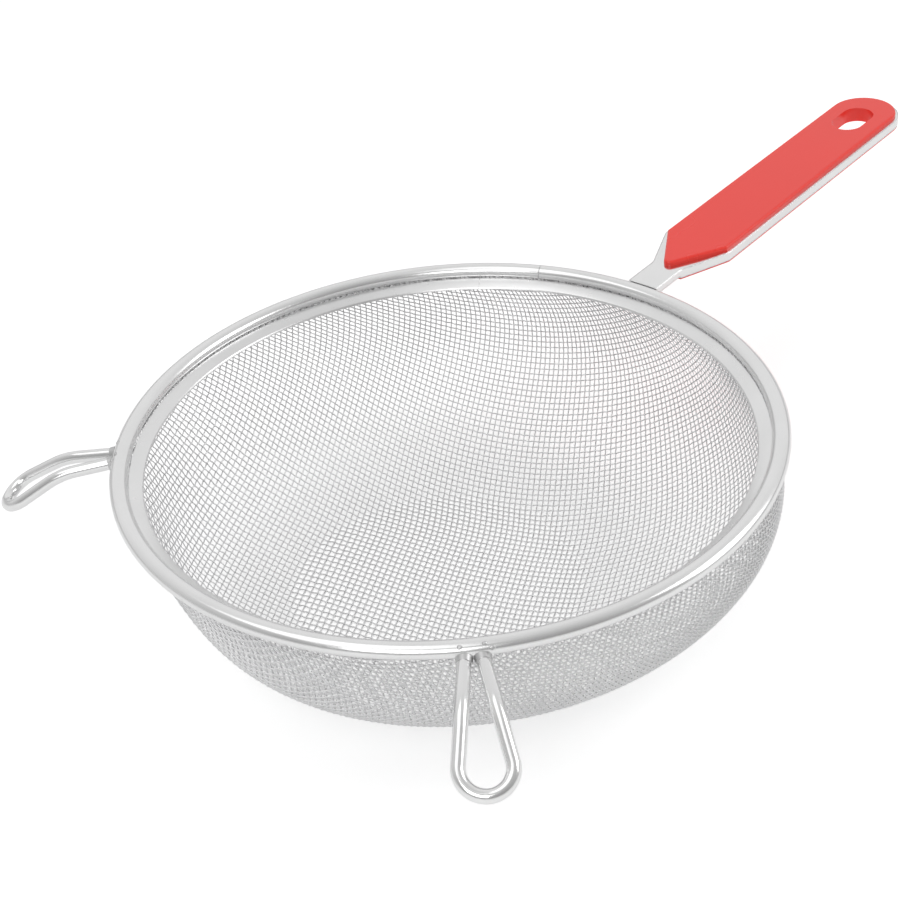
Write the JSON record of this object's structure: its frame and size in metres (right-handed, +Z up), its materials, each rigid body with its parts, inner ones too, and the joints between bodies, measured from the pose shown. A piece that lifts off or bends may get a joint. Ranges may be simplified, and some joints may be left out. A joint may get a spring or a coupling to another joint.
{
  "type": "strainer",
  "caption": "Round fine-mesh steel strainer with a flat base, a plastic-gripped handle with a hanging slot, and wire rests that hook over the edge of a pan.",
  "frame": {"origin": "on the flat of the bowl that stands on the table, straight below the centre of the rim", "axes": "+X out along the handle, +Z up through the open rim, +Y to the left of the handle seen from above with the handle pointing away"},
  "size_m": [0.3546, 0.2064, 0.0655],
  "materials": {
    "polished_steel": "polished stainless steel",
    "satin_steel": "satin stainless steel",
    "mesh_steel": "woven stainless wire, shown as a thin sheet with square gaps",
    "weld_steel": "brushed-over weld",
    "red_plastic": "gloss red plastic"
  },
  "bodies": {
    "root": {"rim_hoop": "polished_steel", "inner_band": "satin_steel", "bowl_mesh": "mesh_steel", "handle_frame": "polished_steel", "grip_top": "red_plastic", "grip_bottom": "red_plastic", "handle_weld": "weld_steel", "front_rest": "polished_steel", "side_rest": "polished_steel", "front_left_weld": "weld_steel", "front_right_weld": "weld_steel", "side_left_weld": "weld_steel", "side_right_weld": "weld_steel"}
  },
  "joints": []
}
